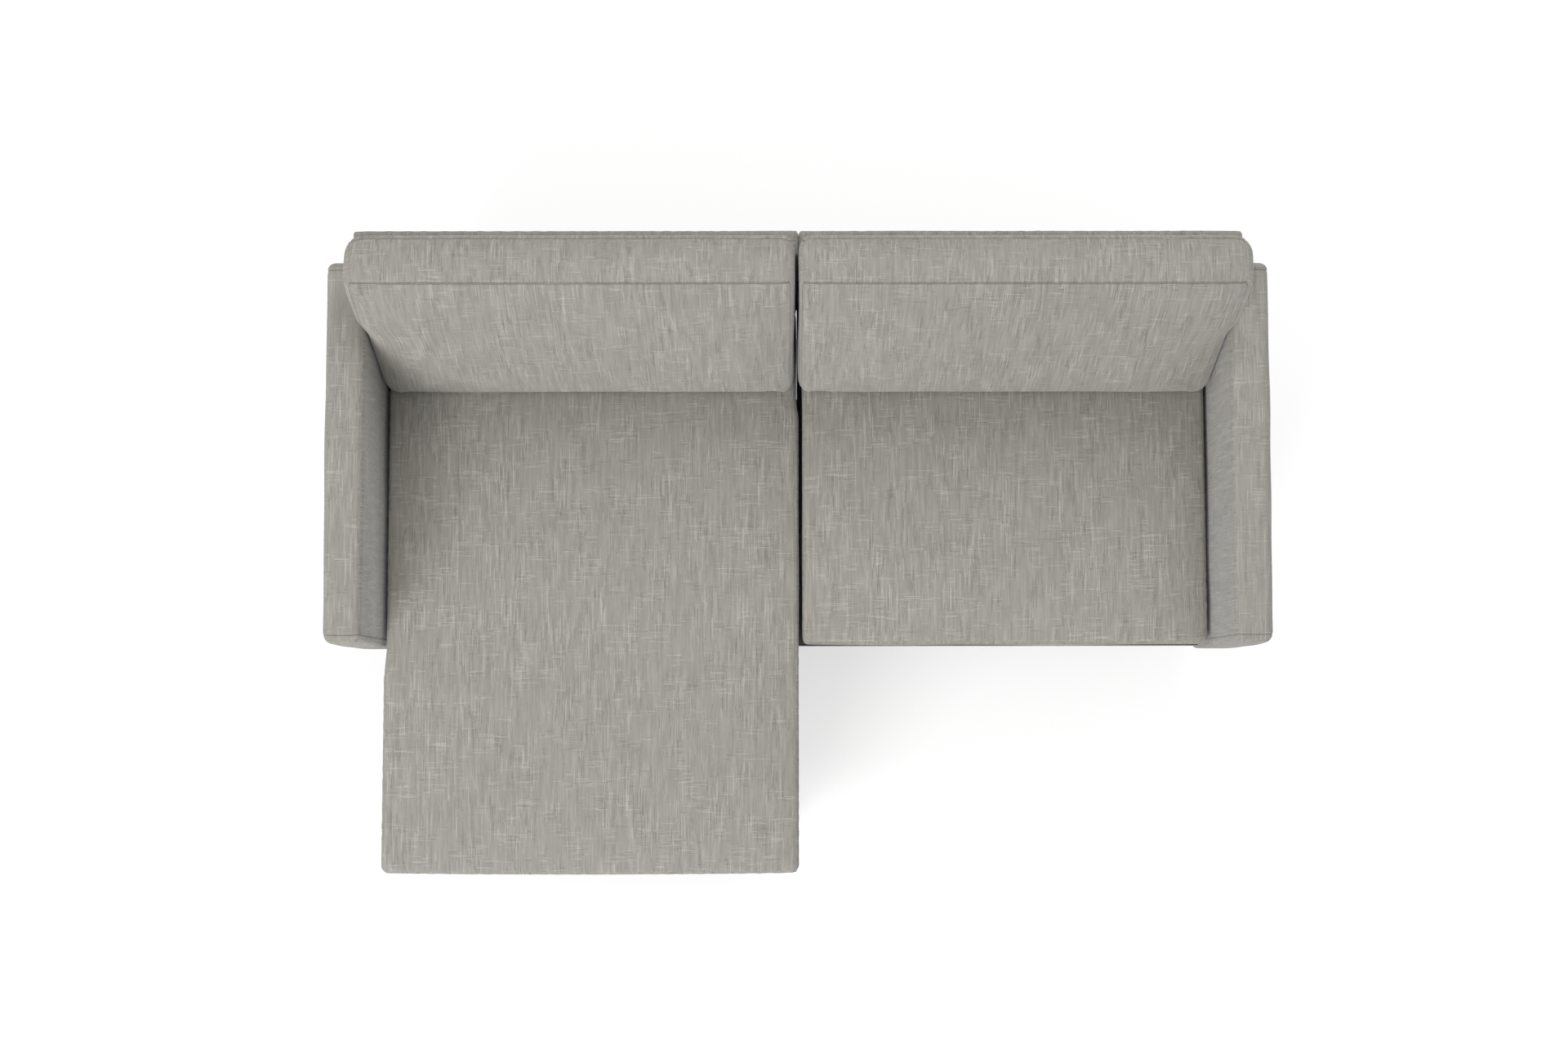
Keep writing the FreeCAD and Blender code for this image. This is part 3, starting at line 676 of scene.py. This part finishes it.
def spread_chaise(form, places):
    """Spreads the chaise's cushion over the gap between the seats, and to the left in front of the arm."""
    u = form.share(places)[:, 0]
    spread = smooth_step(SEAT_SPREAD_LOW, SEAT_SPREAD_HIGH, places[:, 2]) * smooth_step(0.9, 1.0, u)
    spread *= smooth_step(SEAT_SPREAD_END, SEAT_SPREAD_FRONT, places[:, 1])
    places[:, 0] += SEAT_SPREAD * spread
    free = smooth_step(CHAISE_FREE_FROM, CHAISE_FREE_FULL, places[:, 1])
    places[:, 0] -= CHAISE_FREE_SPREAD * free * smooth_step(0.1, 0.0, u) * form.share(places)[:, 2]
    return places


def make_seat_cushion(module):
    cover = module + "_seat_cushion_cover"
    low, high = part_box(cover)
    low.y += SEAT_BOW[module] - SEAT_FORWARD[module]
    high.z -= SEAT_HIDDEN_CROWN
    if module == "sofa":
        low.x += SOFA_SEAT_GAP
        high.x -= SOFA_ARM_GAP
    else:
        low.x += CHAISE_ARM_GAP
    cushion = SoftBox(module + "_seat_cushion", low, high)
    cushion.shape(lambda form, rest: seat_form(form, rest, module))
    rest = rest_of(cushion.object.data)
    back_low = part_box(module + "_back_cushion_cover")[0]
    held = cushion.on_side(rest, "bottom") | (rest[:, 1] > back_low.y)
    held |= ~cushion.on_side(rest, "top") & (rest[:, 2] < low.z + SEAT_EDGE)
    held |= cushion.on_side(rest, "right" if module == "chaise" else "left")
    for side in ("left", "right", "front"):
        held |= cushion.edge(rest, ("top", side))[0] < SEAT_RIM + HELD_PAST
    cushion.inflate(held, SEAT_SWELL)
    cushion.divide()
    cushion.sew([("ring", "top", SEAT_RING), ("ring", "bottom", SEAT_RING)], depth=0.0015, uneven=0.0012)
    body = module + "_seat_cushion"
    obj = cushion.dress(upholstery, body, "upholstery", cover, body + "_foam")


# Back cushions

def back_cushion_form(module, corners):
    """Wedge between a leaning front line and the back's face, with a ledge over the back's top edge."""
    front_low, front_high, rear_low, rear_high = corners
    outward = -1 if module == "chaise" else 1
    ends = (BACK_END_ROUND, BACK_INNER_ROUND)[::-outward]
    near = (ends[0], BACK_FRONT_ROUND, BACK_BOTTOM_ROUND)
    far = (ends[1], BACK_REAR_ROUND, BACK_TOP_ROUND)
    lean = math.atan2(front_high[0] - front_low[0], front_high[1] - front_low[1])

    def form(box, rest):
        places = rounded(rest, box.low, box.high, near, far)
        u, v, w = box.share(places).T
        height = front_low[1] + w * (front_high[1] - front_low[1])
        front_y = front_low[0] + w * (front_high[0] - front_low[0])
        rear_y = (rear_low[0] + w * (rear_high[0] - rear_low[0])
                  + BACK_LEDGE * smooth_step(BACK_STEP_LOW, BACK_STEP_HIGH, height))
        crown = rise(np.minimum(u, 1 - u) / BACK_CROWN_REACH, 2.0)
        bulge = BACK_FRONT_BULGE * hump(w) ** 0.7 * crown * (1 - v) ** 2
        y = front_y + v * (rear_y - front_y) - bulge * math.cos(lean)
        z = height + bulge * math.sin(lean) - BACK_TOP_FALL * (1 - v) * w
        z += BACK_TOP_CROWN * hump(v) * crown * smooth_step(0.8, 1.0, w)
        from_end = u if outward < 0 else 1 - u
        over = smooth_step(OVER_ARM_LOW, OVER_ARM_HIGH, z) * (BACK_OVER_ARM - BACK_TAPER * v ** 2)
        x = places[:, 0] + outward * over * (1 - smooth_step(0.0, 0.2, from_end))
        return np.stack([x, y, z], -1)

    return form


def make_back_cushion(module):
    cover = module + "_back_cushion_cover"
    low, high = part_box(cover)
    front_high_z = high.z - BACK_TOP_CROWN + BACK_TOP_FALL
    corners = ((BACK_FRONT_FOOT, low.z), (BACK_FRONT_HEAD, front_high_z),
               (BACK_REAR_FOOT, low.z), (BACK_REAR_HEAD, front_high_z))
    x1 = high.x - BACK_GAP if module == "chaise" else high.x
    cushion = SoftBox(module + "_back_cushion", (low.x, 0.0, low.z), (x1, BACK_DEPTH, front_high_z))
    cushion.shape(back_cushion_form(module, corners))
    rest = rest_of(cushion.object.data)
    held = cushion.on_side(rest, "bottom") | cushion.on_side(rest, "rear")
    held |= cushion.on_side(rest, "left") | cushion.on_side(rest, "right")
    held |= cushion.edge(rest, ("top", "front"))[0] < TOP_STITCH + HELD_PAST
    cushion.inflate(held, BACK_SWELL)
    cushion.divide()
    edges = [("top", "front"), ("front", "left"), ("front", "right"), ("front", "bottom"),
             ("top", "rear"), ("rear", "left"), ("rear", "right"), ("rear", "bottom")]
    lines = [("edge", pair) for pair in edges] + [("row", ("top", "front"), "top", TOP_STITCH)]
    cushion.sew(lines, uneven=0.0015)
    body = module + "_back_cushion"
    obj = cushion.dress(upholstery, body, "upholstery", cover, body + "_fill")


# Arms

def arm_form(name):
    """Thin upright panel: its front swells below its top edge, and it is drawn in beside the seat."""
    inward = 1 if name == "left_arm" else -1

    def form(box, rest):
        sides = (ARM_OUTER_ROUND, ARM_ROUND)[::inward]
        near = (sides[0], ARM_FRONT_ROUND, ARM_ROUND)
        places = rounded(rest, box.low, box.high, near, (sides[1], ARM_ROUND, ARM_ROUND))
        share = box.share(places)
        u = share[:, 0] if inward > 0 else 1 - share[:, 0]
        front = (1 - share[:, 1]) ** 12
        places[:, 1] += ARM_FRONT_SETBACK * front * share[:, 2] ** 2
        places[:, 1] -= ARM_FRONT_BULGE * front * hump(share[:, 0]) * hump(share[:, 2]) ** 0.3
        places[:, 2] += ARM_TOP_CROWN * hump(share[:, 0]) * share[:, 2] ** 20
        drawn = 1 - smooth_step(ARM_DRAW_LOW, ARM_DRAW_HIGH, places[:, 2])
        places[:, 0] -= inward * ARM_DRAW[name] * drawn * smooth_step(0.6, 1.0, u)
        taper = smooth_step(ARM_TAPER_FROM, box.low[1], places[:, 1]) * smooth_step(0.5, 0.0, u)
        places[:, 0] += inward * ARM_TAPER * taper
        return places

    return form


def make_arm(name, body):
    low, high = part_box(name + "_cover")
    arm = SoftBox(name, low, high)
    arm.shape(arm_form(name))
    arm.divide()
    lines = [("ring", "front", ARM_RING), ("ring", "rear", ARM_RING)]
    arm.sew(lines, depth=0.0016, uneven=0.0005, uneven_length=0.16)
    obj = arm.dress(upholstery, body, "upholstery", name + "_cover", name + "_padding")


# Backs

def make_back(module):
    cover = module + "_back_cover"
    low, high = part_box(cover)
    deck_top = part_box(module + "_deck_pad")[1].z
    foot_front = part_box(module + "_deck_pad")[1].y
    rear_low = foot_front + BACK_REAR_AT_FOOT

    def form(box, rest):
        places = rounded(rest, box.low, box.high, (BACK_SIDE_EDGE, BACK_EDGE, BACK_EDGE))
        z = places[:, 2]
        rear = rear_low + BACK_RAKE * (z - low.z) / (high.z - low.z)
        front = low.y + BACK_RAKE * (z - deck_top) / (high.z - deck_top)
        foot = smooth_step(deck_top - FOOT_BELOW_DECK, deck_top + FOOT_ABOVE_DECK, z)
        front = foot_front + (front - foot_front) * foot
        v = (places[:, 1] - box.low[1]) / (box.high[1] - box.low[1])
        places[:, 1] = front + v * (rear - front)
        return places

    if module == "chaise":
        high.x = -BACKS_GAP / 2
    else:
        low.x = BACKS_GAP / 2
    back = SoftBox(module + "_back", (low.x, 0.0, low.z), (high.x, BACK_THICKNESS, high.z))
    back.shape(form)
    back.divide()
    pairs = [("top", "rear"), ("rear", "left"), ("rear", "right"), ("front", "left"), ("front", "right")]
    back.sew([("edge", pair) for pair in pairs], depth=0.0012, uneven=0.0006)
    obj = back.dress(upholstery, module, "upholstery", cover, module + "_back_padding")

    rear_cover = module + "_back_rear_cover"
    panel_low, panel_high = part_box(rear_cover)
    margin = REAR_PANEL_MARGIN

    def panel_form(box, rest):
        places = rounded(rest, box.low, box.high, REAR_PANEL_ROUND)
        share = (places[:, 2] - low.z) / (high.z - low.z)
        places[:, 1] += rear_low + BACK_RAKE * share + REAR_PANEL_PROUD
        return places

    panel = SoftBox(module + "_rear_panel", (panel_low.x + margin, -REAR_PANEL_THICK, panel_low.z),
                    (panel_high.x - margin, 0.0, panel_high.z - margin))
    panel.shape(panel_form)
    panel.divide()
    panel.sew([], uneven=0.0005, uneven_length=0.18)
    obj = panel.dress(upholstery, module, "upholstery", rear_cover)


# Base

def make_base_covers(module):
    front = module + "_cover_front"
    for node in (front, module + "_cover_left", module + "_cover_right"):
        low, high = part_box(node)
        cover = SoftBox(node + "_cloth", low, high, step=COVER_STEP, edge_lines=COVER_LINES)
        cover.shape(lambda box, rest: rounded(rest, box.low, box.high, COVER_ROUND))
        cover.divide()
        cover.sew([("ring", "bottom", HEM)], depth=0.0006, pucker=0.0002, uneven=0.0002)
        obj = cover.dress(upholstery, module, "upholstery", node)


def make_decks(module):
    for node, material, slot, tail in ((module + "_deck_pad", deck_felt, "deck_felt", "deck"),
                                       (module + "_dust_cover", dust_cloth, "dust_cloth", "dust_sheet")):
        low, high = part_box(node)
        pad = SoftBox(module + "_" + tail, low, high, step=DECK_STEP, edge_lines=DECK_LINES)
        thick = high.z - low.z
        pad.shape(lambda box, rest: rounded(rest, box.low, box.high, thick / 3))
        pad.divide()
        pad.sew([], uneven=0.0)
        obj = pad.dress(material, module, slot, node)


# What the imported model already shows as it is

NODE_MATERIALS = [
    ("_legs", leg_wood), ("_glides", glide_plastic), ("_board", plywood), ("_springs", spring_steel),
    ("_clips", spring_steel), ("_bolts", bolt_steel), ("_post", frame_wood), ("_rail", frame_wood),
    ("_blocks", frame_wood), ("_receivers", connector_steel), ("_hooks", connector_steel),
]


def dress_nodes():
    for name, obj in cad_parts.items():
        for tail, material in NODE_MATERIALS:
            if name.endswith(tail):
                obj.data.materials.clear()
                obj.data.materials.append(material)


# Stage

def make_floor():
    """Pale floor that the camera sees as white, apart from the object's shadow."""
    corners = [(x * FLOOR_REACH, y * FLOOR_REACH, 0) for x, y in ((-1, -1), (1, -1), (1, 1), (-1, 1))]
    mesh = bpy.data.meshes.new("floor")
    mesh.from_pydata(corners, [], [(0, 1, 2, 3)])
    floor = bpy.data.objects.new("floor", mesh)
    bpy.context.scene.collection.objects.link(floor)
    shade = Shade(bpy.data.materials.new("floor_paint"))
    paint = shade.node("BsdfDiffuse", {"Color": (FLOOR_SHADE, FLOOR_SHADE, FLOOR_SHADE, 1.0)})
    strength = shade.times(shade.seen(), FLOOR_SEEN)
    glow = shade.node("Emission", {"Color": (1.0, 1.0, 1.0, 1.0), "Strength": strength})
    both = shade.node("AddShader")
    shade.feed(both.inputs[0], paint.outputs[0])
    shade.feed(both.inputs[1], glow.outputs[0])
    output = shade.node("OutputMaterial")
    shade.feed(output.inputs["Surface"], both.outputs[0])
    mesh.materials.append(shade.owner)


def make_world():
    """Soft light from all round, seen as white."""
    world = bpy.data.worlds.new("studio")
    bpy.context.scene.world = world
    shade = Shade(world)
    level = shade.node("MapRange", {"Value": shade.seen(), "To Min": WORLD_LEVEL, "To Max": 1.0}).outputs[0]
    background = shade.node("Background", {"Strength": level})
    output = shade.node("OutputWorld")
    shade.feed(output.inputs["Surface"], background.outputs[0])


def make_lamps():
    for name, (place, width, watts) in LAMPS.items():
        lamp = bpy.data.lights.new(name, "AREA")
        lamp.shape = "SQUARE"
        lamp.size = width
        lamp.energy = watts
        holder = bpy.data.objects.new(name, lamp)
        bpy.context.scene.collection.objects.link(holder)
        holder.visible_camera = False
        holder.location = place
        way = np.array(LAMP_TARGET) - np.array(place)
        tilt = math.atan2(math.hypot(way[0], way[1]), -way[2])
        holder.rotation_euler = (tilt, 0.0, math.atan2(-way[0], way[1]))


def make_camera():
    camera = bpy.data.cameras.new("camera")
    camera.lens = LENS
    camera.sensor_width = SENSOR
    holder = bpy.data.objects.new("camera", camera)
    bpy.context.scene.collection.objects.link(holder)
    holder.location = CAMERA_PLACE
    holder.rotation_euler = [math.radians(turn) for turn in CAMERA_TURN]
    bpy.context.scene.camera = holder


make_camera()
make_floor()
make_world()
make_lamps()
dress_nodes()
for module in MODULES:
    make_seat_cushion(module)
    make_back_cushion(module)
    make_back(module)
    make_base_covers(module)
    make_decks(module)
make_arm("left_arm", "chaise")
make_arm("right_arm", "sofa")
bpy.context.scene.view_settings.view_transform = "Standard"
